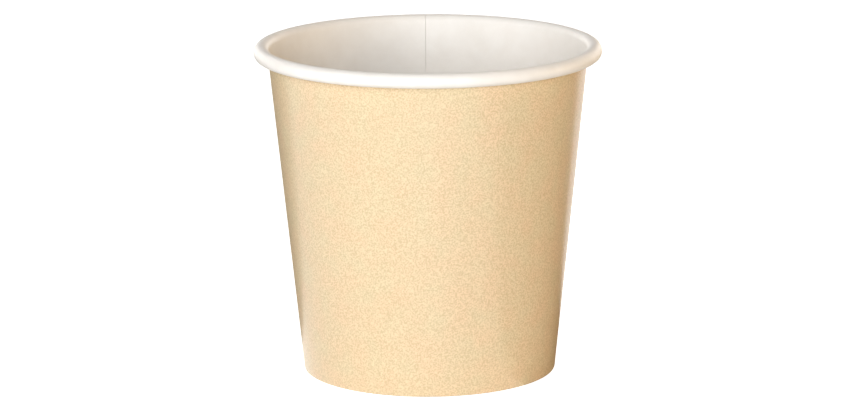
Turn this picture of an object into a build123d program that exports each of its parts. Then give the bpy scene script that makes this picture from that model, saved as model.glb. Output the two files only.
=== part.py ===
from build123d import *
from math import asin, atan2, cos, degrees, hypot, sin, sqrt, tan
import os

os.makedirs("parts", exist_ok=True)

# A small single-wall paper cup, in millimetres, standing on the table at z = 0.
# Two blanks of coated board make it: a side wall, wrapped round with a lapped seam, rolled at
# the rim and hemmed at the foot, and a base disc whose skirt is sealed inside that hem.

# Sizes that a cup is sold by
rim_diameter = 62.0  # across the outside of the rolled rim
cup_height = 59.0  # table to the top of the rim
foot_diameter = 45.0  # the wall's outer face, carried down to the table

# Board
wall_board = 0.28  # the side blank, printed outside and coated inside
base_board = 0.25  # the base blank
seal_film = 0.03  # melted coating between two faces that are sealed together

# Rolled rim
roll_width = 2.75  # across the roll, from the wall's inner face to the rim's outside
roll_gap = 0.08  # air between one turn of the roll and the next
roll_flats = 6  # flats that draw half a turn of the roll, an even number to keep the full height
tuck_flats = 1  # flats that the cut edge runs on inside the roll's own first turn

# Foot
hem_height = 4.8  # table to the cut edge of the turned-up hem
panel_height = 5.6  # table to the underside of the base panel
skirt_bend = 0.3  # inside corner that the bend from the panel to its skirt cuts off

# Side seam, measured round the rim
seam_azimuth = 90.0  # the half plane that holds the seam's inner cut edge
seam_overlap = 6.0  # lap of the outer end over the inner end
seam_jog = 2.0  # run in which the outer end climbs onto the inner one
seam_ease = 2.5  # run in which the roll and the hem tighten for the second layer

# The wall's outer face leans out from the foot until it touches the roll
foot_radius = foot_diameter / 2
roll_radius = roll_width / 2
roll_centre = Vector(rim_diameter / 2 - roll_radius, cup_height - roll_radius)
roll_reach = hypot(roll_centre.X - foot_radius, roll_centre.Y)
roll_bearing = atan2(roll_centre.X - foot_radius, roll_centre.Y)
taper = roll_bearing - asin((roll_radius - wall_board) / roll_reach)

# The hem grips the skirt, which ends clear of the fold where the seam doubles the board
throat = base_board + 2 * seal_film
skirt_foot = 2 * wall_board + seal_film

# A square fold keeps the board's thickness when this share of it is cut from the outer corner
fold_cut = 2 - sqrt(2)

# The seam's runs as angles
overlap_angle = degrees(2 * seam_overlap / rim_diameter)
jog_angle = degrees(2 * seam_jog / rim_diameter)
ease_angle = degrees(2 * seam_ease / rim_diameter)
jog_end = seam_azimuth + jog_angle
lap_start = seam_azimuth - overlap_angle
ease_start = lap_start - ease_angle


def cone_radius(depth, level):
    """Radius at a depth outside the wall's inner face and a level above the table."""
    return foot_radius + (depth - wall_board) / cos(taper) + level * tan(taper)


def round_corners(centre, radius, first, count):
    """Corners of flats that follow a circle clockwise, counted in flats from its right side."""
    flat_turn = 180 / roll_flats
    turns = [-flat_turn * flat for flat in range(first, first + count)]
    return [centre + Vector(radius, 0).rotate(Axis.Z, turn) for turn in turns]


def wall_line(layers, depth):
    """Corners of the side board at a depth from its inner face, from the hem's edge to the rim's.

    Where layers is 2, the fold and the roll leave room for the seam's second thickness.
    """
    fold_level = layers * wall_board - depth
    hem_depth = -throat - depth
    tightening = (layers * wall_board + roll_gap) / 2
    over_radius = roll_radius - depth
    under_centre = roll_centre + Vector(tightening, 0)
    hem = [
        (cone_radius(hem_depth, hem_height), hem_height),
        (cone_radius(hem_depth, fold_level), fold_level),
    ]
    wall = [
        (cone_radius(depth, fold_level), fold_level),
        roll_centre + Vector(-cos(taper), sin(taper)) * over_radius,
    ]
    over = round_corners(roll_centre, over_radius, 1 - roll_flats, roll_flats)
    under = round_corners(under_centre, over_radius - tightening, 1, roll_flats + tuck_flats)
    return hem + wall + over + under


def wall_section(azimuth, layers, inner, outer):
    """Section of the side board at an azimuth, between two counts of layers from its inner face."""
    with BuildSketch(Plane.XZ.rotated((0, 0, azimuth))) as section:
        inner_line = wall_line(layers, inner * wall_board)
        outer_line = wall_line(layers, outer * wall_board)
        with BuildLine():
            Polyline(*inner_line, *reversed(outer_line), close=True)
        make_face()
        creases = section.vertices().sort_by(Axis.Y)[:2]
        chamfer(creases, fold_cut * outer * wall_board)
    return section.sketch


# Side wall: one sheet round the cup, doubled where its outer end laps over its inner end
with BuildPart() as side_wall:
    single_turn = 360 - overlap_angle - jog_angle - ease_angle
    revolve(wall_section(jog_end, 1, 0, 1), axis=Axis.Z, revolution_arc=single_turn)
    loft([wall_section(ease_start, 1, 0, 1), wall_section(lap_start, 2, 0, 1)], ruled=True)
    revolve(wall_section(lap_start, 2, 0, 2), axis=Axis.Z, revolution_arc=overlap_angle)
    loft([wall_section(seam_azimuth, 2, 1, 2), wall_section(jog_end, 1, 0, 1)], ruled=True)

side_wall.part.label = "side_wall"


def base_line(depth):
    """Corners of the base board at a depth under its upper face, from the centre outward."""
    level = panel_height + base_board - depth
    return [
        (0, level),
        (cone_radius(-seal_film - depth, level), level),
        (cone_radius(-seal_film - depth, skirt_foot), skirt_foot),
    ]


# Base disc: a flat panel with its edge turned down between the wall and the hem
with BuildPart() as base_disc:
    with BuildSketch(Plane.XZ) as base_section:
        with BuildLine():
            Polyline(*base_line(0), *reversed(base_line(base_board)), close=True)
        make_face()
        lower_face, upper_face = base_section.vertices().group_by(Axis.Y)[-2:]
        chamfer(lower_face.sort_by(Axis.X)[-1], skirt_bend)
        chamfer(upper_face.sort_by(Axis.X)[-1], skirt_bend + fold_cut * base_board)
    revolve(axis=Axis.Z)

base_disc.part.label = "base_disc"

export_step(side_wall.part, "parts/side_wall.step")
export_step(base_disc.part, "parts/base_disc.step")
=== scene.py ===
import math

import bmesh
import bpy
import numpy as np
from mathutils import Matrix, Vector


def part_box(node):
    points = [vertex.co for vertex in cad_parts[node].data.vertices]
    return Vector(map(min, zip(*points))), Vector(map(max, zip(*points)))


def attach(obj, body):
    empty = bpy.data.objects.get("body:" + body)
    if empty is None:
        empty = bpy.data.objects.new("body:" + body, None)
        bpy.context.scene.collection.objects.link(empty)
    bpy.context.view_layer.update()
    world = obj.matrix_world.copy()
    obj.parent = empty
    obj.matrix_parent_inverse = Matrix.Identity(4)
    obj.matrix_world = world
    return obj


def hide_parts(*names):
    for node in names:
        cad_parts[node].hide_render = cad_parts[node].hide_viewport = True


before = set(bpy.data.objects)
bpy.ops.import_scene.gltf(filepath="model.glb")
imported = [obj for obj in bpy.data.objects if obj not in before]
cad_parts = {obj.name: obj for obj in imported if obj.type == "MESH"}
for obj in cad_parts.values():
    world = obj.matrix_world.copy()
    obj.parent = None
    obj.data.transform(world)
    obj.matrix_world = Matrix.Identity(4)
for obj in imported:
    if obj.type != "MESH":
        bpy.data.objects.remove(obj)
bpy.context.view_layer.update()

# Lengths below are in millimetres, and MM turns them into metres as objects are made
MM = 0.001

# The cup: its reach comes from the frame's solids, and its other sizes are the part's own
wall_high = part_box("side_wall")[1]
rim_radius = wall_high[0] / MM
cup_height = wall_high[2] / MM
foot_radius = 22.5  # the wall's outer face, carried down to the table
wall_board = 0.28
base_board = 0.25
seal_film = 0.03  # melted coating between two faces that are sealed together
roll_radius = 1.375
roll_gap = 0.08  # air between one turn of the roll and the next
roll_tuck = 18.0  # degrees that the cut edge runs on inside the first turn
hem_height = 4.8
crease_radius = 0.05  # inside the fold from the wall to the hem
panel_height = 5.6
skirt_bend = 0.35  # radius inside the bend from the base panel to its skirt

# The side seam, in lengths round the rim; its inner cut edge lies on the +Y half plane
seam_azimuth = 90.0
seam_overlap = 6.0  # lap of the outer end over the inner end
seam_jog = 2.0  # run in which the outer face climbs over the inner end
seam_nip = 0.05  # run in which the inner face closes up to that end
seam_ease = 2.5  # run in which the roll and the hem tighten for the second layer
lap_clearance = 0.006  # between the two layers, so that their faces stay apart
cut_bevel = 0.02  # corner that the knife crushes along a cut edge

# Ridges that the sealing wheel presses into the hem
knurl_count = 96
knurl_depth = 0.07
knurl_low, knurl_high = 1.0, 4.2  # the levels that they run between
knurl_fade = 0.35  # run in which they fade at either end

# Lobes by which a formed wall drifts inward from a true cone: number round the cup, share, phase
wobble_lobes = ((2, 1.0, 0.7), (3, 0.6, 2.1), (5, 0.35, 4.0))
wobble_depth = 0.022  # at the rim, for a share of 1

# Points of a section line on each of its stretches
hem_points = 12
crease_points = 6
cone_points = 14
roll_points = 26  # for each half turn
panel_points = 16
skirt_bend_points = 7
skirt_points = 5

# Section lines on each stretch of the way round the cup
lap_columns = 12
ease_columns = 8
jog_columns = 10
nip_columns = 8
knurl_columns = 5  # for each ridge
base_columns = 240
bevel_steps = np.array([0, 0.3, 0.65, 1.0, 2.0])  # at a cut edge, in widths of its bevel

merge_distance = 0.00001  # corners of a mesh that lie closer than this become one

# The wall leans out from the foot until it touches the roll
roll_centre = np.array([rim_radius - roll_radius, cup_height - roll_radius])
roll_reach = math.hypot(roll_centre[0] - foot_radius, roll_centre[1])
roll_bearing = math.atan2(roll_centre[0] - foot_radius, roll_centre[1])
taper = roll_bearing - math.asin((roll_radius - wall_board) / roll_reach)

# The hem grips the skirt, which ends clear of the fold where the seam doubles the board
throat = base_board + 2 * seal_film
skirt_foot = 2 * wall_board + seal_film


def rim_turn(length):
    """Turn, in degrees, that covers a length round the rim."""
    return math.degrees(length / rim_radius)


overlap_angle = rim_turn(seam_overlap)
jog_angle = rim_turn(seam_jog)
nip_angle = rim_turn(seam_nip)
ease_angle = rim_turn(seam_ease)
bevel_angle = rim_turn(cut_bevel)
full_angle = 360 + overlap_angle  # from the board's inner cut edge to its outer one


def cone_radius(depth, level):
    """Radius at a depth outside the wall's inner face and a level above the table."""
    return foot_radius + (depth - wall_board) / math.cos(taper) + level * math.tan(taper)


def run(start, end, count):
    """Points from start towards end, without the end itself."""
    steps = np.linspace(0, 1, count, endpoint=False)[:, None]
    return np.array(start) + steps * (np.array(end) - np.array(start))


def arc(centre, radius, first, last, count):
    """Points round a centre between two angles in degrees, both ends kept."""
    angles = np.radians(np.linspace(first, last, count))
    return np.array(centre) + radius * np.column_stack([np.cos(angles), np.sin(angles)])


def bend(before, corner, after, radius, count):
    """Points of the arc that rounds a corner."""
    to_before = np.subtract(before, corner)
    to_after = np.subtract(after, corner)
    to_before = to_before / np.linalg.norm(to_before)
    to_after = to_after / np.linalg.norm(to_after)
    half = math.acos(np.clip(np.dot(to_before, to_after), -1, 1)) / 2
    middle = (to_before + to_after) / np.linalg.norm(to_before + to_after)
    centre = np.array(corner) + middle * radius / math.sin(half)
    spokes = [corner + side * radius / math.tan(half) - centre for side in (to_before, to_after)]
    first, last = (math.degrees(math.atan2(spoke[1], spoke[0])) for spoke in spokes)
    turn = (last - first + 180) % 360 - 180
    return arc(centre, radius, first, first + turn, count)


def wall_line(layers, depth):
    """The side board at a depth from its inner face, from the hem's edge to the rim's.

    Where layers is 2, the fold and the roll leave room for the seam's second thickness.
    """
    fold_level = max(layers * wall_board - depth, 0)
    hem_depth = -throat - depth
    hem_edge = (cone_radius(hem_depth, hem_height), hem_height)
    hem_crease = (cone_radius(hem_depth, fold_level), fold_level)
    wall_crease = (cone_radius(depth, fold_level), fold_level)
    over_radius = roll_radius - depth
    touch = roll_centre + over_radius * np.array([-math.cos(taper), math.sin(taper)])
    tightening = (layers * wall_board + roll_gap) / 2
    under_centre = roll_centre + np.array([tightening, 0])
    hem_bend = bend(hem_edge, hem_crease, wall_crease, crease_radius + depth, crease_points)
    wall_bend = bend(hem_crease, wall_crease, touch, crease_radius + depth, crease_points)
    over = arc(roll_centre, over_radius, 180 - math.degrees(taper), 0, roll_points)
    under = arc(under_centre, over_radius - tightening, 0, -180 - roll_tuck, roll_points)
    return np.vstack([
        run(hem_edge, hem_bend[0], hem_points),
        hem_bend,
        wall_bend,
        run(wall_bend[-1], touch, cone_points)[1:],
        over,
        under[1:],
    ])


def smooth_step(value):
    """Eases 0 to 1 with level ends."""
    value = np.clip(value, 0, 1)
    return value * value * (3 - 2 * value)


def seam_state(turned):
    """The side board after a turn, in degrees, from its inner end.

    Gives its count of layers, and the layer numbers of its inner and its outer face.
    """
    easing = smooth_step((turned - overlap_angle) / ease_angle)
    near_layer = smooth_step((turned - 360 + nip_angle) / nip_angle)
    far_layer = smooth_step((turned - 360 + jog_angle) / jog_angle)
    return 2 - easing + far_layer, near_layer, far_layer


def wall_turns():
    """Turns, in degrees from the inner end, at which the side board's section is drawn."""
    edge_turns = bevel_angle * bevel_steps
    edge_end = edge_turns[-1]
    single_start = overlap_angle + ease_angle
    single_end = 360 - jog_angle
    single_columns = round((single_end - single_start) / 360 * knurl_count * knurl_columns)
    return np.concatenate([
        edge_turns,
        np.linspace(edge_end, overlap_angle, lap_columns, endpoint=False)[1:],
        np.linspace(overlap_angle, single_start, ease_columns, endpoint=False),
        np.linspace(single_start, single_end, single_columns, endpoint=False),
        np.linspace(single_end, 360 - 2 * nip_angle, jog_columns + 1),
        np.linspace(360 - nip_angle, 360, nip_columns + 1),
        np.linspace(360 + nip_angle, full_angle - edge_end, lap_columns, endpoint=False),
        full_angle - edge_turns[::-1],
    ])


def hand_wobble(azimuth, level):
    """Inward drift of a formed cup's wall from a true cone, always within the solid's box."""
    lobes = [share * (1 + math.sin(count * azimuth + phase)) for count, share, phase in wobble_lobes]
    return -wobble_depth * sum(lobes) * np.clip(level / cup_height, 0, 1)


def place(line, azimuth):
    """Points of a section line in space, at an azimuth in radians."""
    wall_share = line[:, 0] / cone_radius(0, line[:, 1])
    radius = line[:, 0] + hand_wobble(azimuth, line[:, 1]) * wall_share
    return np.column_stack([radius * math.cos(azimuth), radius * math.sin(azimuth), line[:, 1]])


def press_knurl(line, turned):
    """Presses the sealing wheel's ridges into the hem's face that looks to the axis."""
    level = line[:hem_points, 1]
    rise = smooth_step((level - knurl_low) / knurl_fade)
    fall = smooth_step((knurl_high - level) / knurl_fade)
    ridge = 0.5 - 0.5 * math.cos(math.radians(turned * knurl_count))
    line[:hem_points, 0] += rise * fall * ridge * knurl_depth
    return line


def end_bevels(turned):
    """Depths that the crushed corners take off the inner and the outer face at a turn.

    The inner face loses its corner at the inner end, and the outer face at the outer end.
    """
    from_ends = np.array([turned, full_angle - turned])
    return cut_bevel * np.maximum(0, 1 - from_ends / bevel_angle) ** 2


def wall_grids():
    """Points of the side board's inner and outer faces, one row of the grid for each turn."""
    inner, outer = [], []
    for turned in wall_turns():
        layers, near_layer, far_layer = seam_state(turned)
        near_bevel, far_bevel = end_bevels(turned)
        near_depth = near_layer * (wall_board + lap_clearance) + near_bevel
        far_depth = far_layer * (wall_board + lap_clearance) + wall_board - far_bevel
        azimuth = math.radians(seam_azimuth - turned)
        inner.append(place(wall_line(layers, near_depth), azimuth))
        outer.append(place(press_knurl(wall_line(layers, far_depth), turned), azimuth))
    return np.array(inner), np.array(outer)


def base_line(depth):
    """The base board at a depth under its upper face, from the centre to the skirt's edge."""
    level = panel_height + base_board - depth
    corner = (cone_radius(-seal_film - depth, level), level)
    foot = (cone_radius(-seal_film - depth, skirt_foot), skirt_foot)
    rounded = bend((0, level), corner, foot, skirt_bend + base_board - depth, skirt_bend_points)
    return np.vstack([
        run((0, level), rounded[0], panel_points),
        rounded,
        run(rounded[-1], foot, skirt_points)[1:],
        [foot],
    ])


def base_grids():
    """Points of the base board's upper and lower faces; the last row meets the first."""
    azimuths = np.radians(np.linspace(0, 360, base_columns, endpoint=False))
    upper = np.array([place(base_line(0), azimuth) for azimuth in azimuths])
    lower = np.array([place(base_line(base_board), azimuth) for azimuth in azimuths])
    return upper, lower


def add_object(name, data):
    """An object in the scene, made from a mesh, a lamp's data or a camera's."""
    made = bpy.data.objects.new(name, data)
    bpy.context.scene.collection.objects.link(made)
    return made


def smooth_mesh(mesh):
    """Joins corners that meet and smooths the faces, with a sharp line where materials change."""
    shape = bmesh.new()
    shape.from_mesh(mesh)
    bmesh.ops.remove_doubles(shape, verts=shape.verts, dist=merge_distance * MM)
    bmesh.ops.recalc_face_normals(shape, faces=shape.faces)
    for face in shape.faces:
        face.smooth = True
    for edge in shape.edges:
        edge.smooth = len({face.material_index for face in edge.link_faces}) == 1
    shape.to_mesh(mesh)
    shape.free()


def board_piece(name, near, far, materials, closed):
    """A board as a closed mesh, from the grids of its two faces, with its cut edges filled in.

    The materials are those of the near face, the far face and the cut edges. A closed board runs
    all the way round and starts at the axis, so that its only cut edge is where its lines end.
    """
    corners = np.arange(near[..., 0].size).reshape(near.shape[:2])
    size = corners.size
    if closed:
        corners = np.vstack([corners, corners[:1]])
        cut_edges = [corners[:, -1]]
    else:
        cut_edges = [corners[:, 0], corners[:, -1], corners[0], corners[-1]]
    here, next_row = corners[:-1], corners[1:]
    sheet = np.stack([here[:, :-1], next_row[:, :-1], next_row[:, 1:], here[:, 1:]], axis=-1)
    sheet = sheet.reshape(-1, 4)
    cuts = np.vstack([
        np.column_stack([edge[:-1], edge[1:], edge[1:] + size, edge[:-1] + size])
        for edge in cut_edges
    ])
    faces = np.vstack([sheet, sheet + size, cuts])
    slots = np.repeat([0, 1, 2], [len(sheet), len(sheet), len(cuts)])
    points = np.vstack([near.reshape(-1, 3), far.reshape(-1, 3)]) * MM
    mesh = bpy.data.meshes.new(name)
    mesh.from_pydata(points.tolist(), [], faces.tolist())
    for material in materials:
        mesh.materials.append(material)
    mesh.polygons.foreach_set("material_index", slots.tolist())
    smooth_mesh(mesh)
    return add_object(name, mesh)


# Materials; a noise's scale is in features for each metre
white = (1, 1, 1, 1)
noise_low, noise_high = 0.3, 0.7  # the part of a noise's range that is stretched over the whole
coating_relief = 0.01
fibre_relief = 0.03


def add_node(tree, kind, **values):
    """A node whose inputs and settings are given by name."""
    node = tree.nodes.new(kind)
    for key, value in values.items():
        if key in node.inputs:
            node.inputs[key].default_value = value
        else:
            setattr(node, key, value)
    return node


def set_inputs(node, values):
    """Sets inputs of a node by name."""
    for key, value in values.items():
        node.inputs[key].default_value = value


def empty_tree(owner):
    """The node tree of a material or a world, cleared."""
    owner.use_nodes = True
    owner.node_tree.nodes.clear()
    return owner.node_tree


def new_material(name):
    """A node material, its node tree, its Principled shader and its object coordinates."""
    material = bpy.data.materials.new(name)
    material.use_nodes = True
    tree = material.node_tree
    spot = tree.nodes.new("ShaderNodeTexCoord").outputs["Object"]
    return material, tree, tree.nodes["Principled BSDF"], spot


def noise(tree, spot, scale, detail, roughness=0.5):
    """A noise texture's value."""
    node = add_node(tree, "ShaderNodeTexNoise", Scale=scale, Detail=detail, Roughness=roughness)
    tree.links.new(spot, node.inputs["Vector"])
    return node.outputs["Fac"]


def mottle(tree, spot, scale, detail, roughness=0.5, low=0, high=1):
    """A noise that is stretched between two values and held there."""
    node = tree.nodes.new("ShaderNodeMapRange")
    set_inputs(node, {"From Min": noise_low, "From Max": noise_high, "To Min": low, "To Max": high})
    tree.links.new(noise(tree, spot, scale, detail, roughness), node.inputs["Value"])
    return node.outputs["Result"]


def tint(tree, factor, first, second):
    """A colour mixed from two by a factor."""
    node = add_node(tree, "ShaderNodeMix", data_type="RGBA")
    inputs = [socket for socket in node.inputs if socket.type == "RGBA"]
    for socket, colour in zip(inputs, (first, second)):
        if isinstance(colour, tuple):
            socket.default_value = (*colour, 1)
        else:
            tree.links.new(colour, socket)
    tree.links.new(factor, node.inputs[0])
    return next(socket for socket in node.outputs if socket.type == "RGBA")


def add_bump(tree, shader, height, relief, strength=1.0):
    """Joins a height to the shader's normal."""
    node = add_node(tree, "ShaderNodeBump", Distance=relief * MM, Strength=strength)
    tree.links.new(height, node.inputs["Height"])
    tree.links.new(node.outputs["Normal"], shader.inputs["Normal"])


def linear(red, green, blue):
    """A colour for a shader, from its sRGB display values of 0 to 255."""
    shares = [value / 255 for value in (red, green, blue)]
    return tuple(s / 12.92 if s <= 0.04045 else ((s + 0.055) / 1.055) ** 2.4 for s in shares)


def printed_board():
    """Cream print under a satin coating.

    A fine stipple lies over a slow drift between a pinker and a yellower cream.
    """
    material, tree, shader, spot = new_material("cup_print")
    drift = mottle(tree, spot, scale=230, detail=1)
    dark = tint(tree, drift, linear(216, 188, 147), linear(212, 190, 149))
    light = tint(tree, drift, linear(237, 209, 172), linear(232, 212, 174))
    stipple = mottle(tree, spot, scale=3600, detail=0)
    tree.links.new(tint(tree, stipple, dark, light), shader.inputs["Base Color"])
    rough = mottle(tree, spot, scale=900, detail=2, low=0.42, high=0.5)
    tree.links.new(rough, shader.inputs["Roughness"])
    set_inputs(shader, {"Specular IOR Level": 0.3, "Coat Weight": 0.6, "Coat Roughness": 0.25})
    grain = noise(tree, spot, scale=2200, detail=3, roughness=0.6)
    add_bump(tree, shader, grain, coating_relief, strength=0.6)
    return material


def white_board(name, light, shade):
    """Coated white board, with the faint cloudiness of its fibres."""
    material, tree, shader, spot = new_material(name)
    cloud = mottle(tree, spot, scale=260, detail=4, roughness=0.6)
    tree.links.new(tint(tree, cloud, shade, light), shader.inputs["Base Color"])
    rough = mottle(tree, spot, scale=1100, detail=2, low=0.4, high=0.52)
    tree.links.new(rough, shader.inputs["Roughness"])
    set_inputs(shader, {"Specular IOR Level": 0.4})
    grain = noise(tree, spot, scale=1500, detail=3, roughness=0.6)
    add_bump(tree, shader, grain, coating_relief, strength=0.5)
    return material


def cut_board():
    """The board's core at a cut edge: short pale fibres, uncoated."""
    material, tree, shader, spot = new_material("cup_cut_edge")
    fibre = mottle(tree, spot, scale=5200, detail=4, roughness=0.7)
    core = tint(tree, fibre, linear(214, 208, 196), linear(243, 240, 233))
    tree.links.new(core, shader.inputs["Base Color"])
    set_inputs(shader, {"Roughness": 0.9})
    add_bump(tree, shader, fibre, fibre_relief)
    return material


def make_cup():
    """The cup's two boards, each in place of its plain solid."""
    inside = white_board("cup_coated", linear(248, 244, 238), linear(243, 238, 231))
    underside = white_board("cup_plain", linear(238, 235, 228), linear(228, 224, 215))
    cut = cut_board()
    wall = board_piece("cup_wall", *wall_grids(), [inside, printed_board(), cut], closed=False)
    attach(wall, "root")
    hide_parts("side_wall")
    base = board_piece("cup_base", *base_grids(), [inside, underside, cut], closed=True)
    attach(base, "root")
    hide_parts("base_disc")


# The camera, from the outline of the cup in the photograph
picture_width = 854  # in pixels
focal_length = 4250.07  # in pixels of the picture
sensor_width = 36.0
near_clip = 10.0
camera_distance = 742.39  # in front of the cup's axis
camera_height = 193.59
camera_side = -0.32
camera_dip = 0.2175  # in radians, as the next two are
camera_roll = -0.0063
camera_swing = math.radians(-0.72)  # about the cup's axis, for the seam's place in the picture


def add_camera():
    """The camera at the photograph's place."""
    data = bpy.data.cameras.new("camera")
    data.sensor_width = sensor_width
    data.lens = focal_length / picture_width * sensor_width
    data.clip_start = near_clip * MM
    spot = Matrix.Translation(Vector((camera_side, -camera_distance, camera_height)) * MM)
    tilt = Matrix.Rotation(math.pi / 2 - camera_dip, 4, "X")
    roll = Matrix.Rotation(camera_roll, 4, "Z")
    swing = Matrix.Rotation(camera_swing, 4, "Z")
    camera = add_object("camera", data)
    camera.matrix_world = swing @ spot @ tilt @ roll
    bpy.context.scene.camera = camera


# Soft boxes round the cup, the colours of their light, and the world's fill
lamp_distance = 1000.0
lamp_size = 500.0
plain_light = (1.0, 1.0, 1.0)
cool_light = (0.94, 0.975, 1.0)
pale_cool_light = (0.97, 0.985, 1.0)
warm_light = (1.0, 0.97, 0.92)
amber_light = (1.0, 0.53, 0.0)
warm_fill = (1.0, 0.8, 0.66)
fill_strength = 0.116


def add_lamp(name, azimuth, elevation, power, colour):
    """A soft box aimed at the cup. Azimuth 0 is the camera's side, 90 is its right."""
    data = bpy.data.lights.new(name, "AREA")
    data.shape = "SQUARE"
    data.size = lamp_size * MM
    data.energy = power
    data.color = colour
    swung, raised = math.radians(azimuth), math.radians(elevation)
    direction = Vector((
        math.sin(swung) * math.cos(raised),
        -math.cos(swung) * math.cos(raised),
        math.sin(raised),
    ))
    lamp = add_object(name, data)
    target = Vector((0, 0, cup_height / 2 * MM))
    lamp.location = target + direction * (lamp_distance * MM)
    lamp.rotation_euler = direction.to_track_quat("Z", "Y").to_euler()


def background_share(tree):
    """1 for rays that should see the white background: camera, glossy and transmission rays."""
    path = tree.nodes.new("ShaderNodeLightPath")
    total = path.outputs["Is Camera Ray"]
    for name in ("Is Glossy Ray", "Is Transmission Ray"):
        node = add_node(tree, "ShaderNodeMath", operation="MAXIMUM")
        tree.links.new(total, node.inputs[0])
        tree.links.new(path.outputs[name], node.inputs[1])
        total = node.outputs[0]
    return total


def set_world():
    """White to the background's rays, and a soft fill for all others."""
    world = bpy.data.worlds.new("world")
    bpy.context.scene.world = world
    tree = empty_tree(world)
    fill = add_node(tree, "ShaderNodeBackground", Color=(*warm_fill, 1), Strength=fill_strength)
    background = add_node(tree, "ShaderNodeBackground", Color=white, Strength=1)
    mix = tree.nodes.new("ShaderNodeMixShader")
    out = tree.nodes.new("ShaderNodeOutputWorld")
    tree.links.new(background_share(tree), mix.inputs[0])
    tree.links.new(fill.outputs[0], mix.inputs[1])
    tree.links.new(background.outputs[0], mix.inputs[2])
    tree.links.new(mix.outputs[0], out.inputs[0])


# The floor, and the mats on it that only the cup's gloss sees
floor_half = 3000.0
floor_drop = 0.06  # under the table's level, so that no face meets the cup's foot
floor_paint = (0.8, 0.8, 0.8, 1)
floor_glow = 0.9  # strength that brings the floor up to the background's white
mat_reach = 450.0
mat_arc_points = 17
mat_drop = 0.03
mat_black = (0.01, 0.01, 0.01, 1)


def add_floor():
    """A white floor that fades into the background and keeps the cup's soft shadow."""
    half = floor_half * MM
    corners = [(-half, -half, 0), (half, -half, 0), (half, half, 0), (-half, half, 0)]
    mesh = bpy.data.meshes.new("floor")
    mesh.from_pydata(corners, [], [(0, 1, 2, 3)])
    material = bpy.data.materials.new("floor_white")
    tree = empty_tree(material)
    cover = add_node(tree, "ShaderNodeBsdfDiffuse", Color=floor_paint)
    glow = add_node(tree, "ShaderNodeEmission", Color=white)
    level = add_node(tree, "ShaderNodeMath", operation="MULTIPLY")
    level.inputs[1].default_value = floor_glow
    both = tree.nodes.new("ShaderNodeAddShader")
    out = tree.nodes.new("ShaderNodeOutputMaterial")
    tree.links.new(background_share(tree), level.inputs[0])
    tree.links.new(level.outputs[0], glow.inputs["Strength"])
    tree.links.new(cover.outputs[0], both.inputs[0])
    tree.links.new(glow.outputs[0], both.inputs[1])
    tree.links.new(both.outputs[0], out.inputs["Surface"])
    mesh.materials.append(material)
    floor = add_object("floor", mesh)
    floor.location.z = -floor_drop * MM


def add_mat(name, first, last):
    """A black mat on the floor that only the cup's gloss sees, as a studio's black flag.

    It is a sector round the cup's axis, between two azimuths in degrees.
    """
    reach = mat_reach * MM
    azimuths = np.radians(np.linspace(first, last, mat_arc_points))
    corners = [(0, 0, 0)] + [(reach * math.sin(a), -reach * math.cos(a), 0) for a in azimuths]
    mesh = bpy.data.meshes.new(name)
    mesh.from_pydata(corners, [], [tuple(range(len(corners)))])
    material, _, shader, _ = new_material(name + "_black")
    set_inputs(shader, {"Base Color": mat_black, "Specular IOR Level": 0, "Roughness": 1})
    mesh.materials.append(material)
    mat = add_object(name, mesh)
    mat.location.z = -mat_drop * MM
    mat.visible_camera = False
    mat.visible_diffuse = False
    mat.visible_shadow = False


add_camera()
make_cup()
add_floor()
add_mat("mat_right", 48, 136)
add_mat("mat_back", 178, 240)
set_world()
add_lamp("front", azimuth=0, elevation=12, power=8.2, colour=cool_light)
add_lamp("left", azimuth=-66, elevation=20, power=4.0, colour=pale_cool_light)
add_lamp("right", azimuth=90, elevation=8, power=2.65, colour=amber_light)
add_lamp("back_left", azimuth=-150, elevation=12, power=2.3, colour=warm_light)
add_lamp("back_right", azimuth=150, elevation=12, power=2.5, colour=warm_light)
add_lamp("top", azimuth=0, elevation=89, power=0.8, colour=plain_light)
bpy.context.scene.view_settings.view_transform = "Standard"
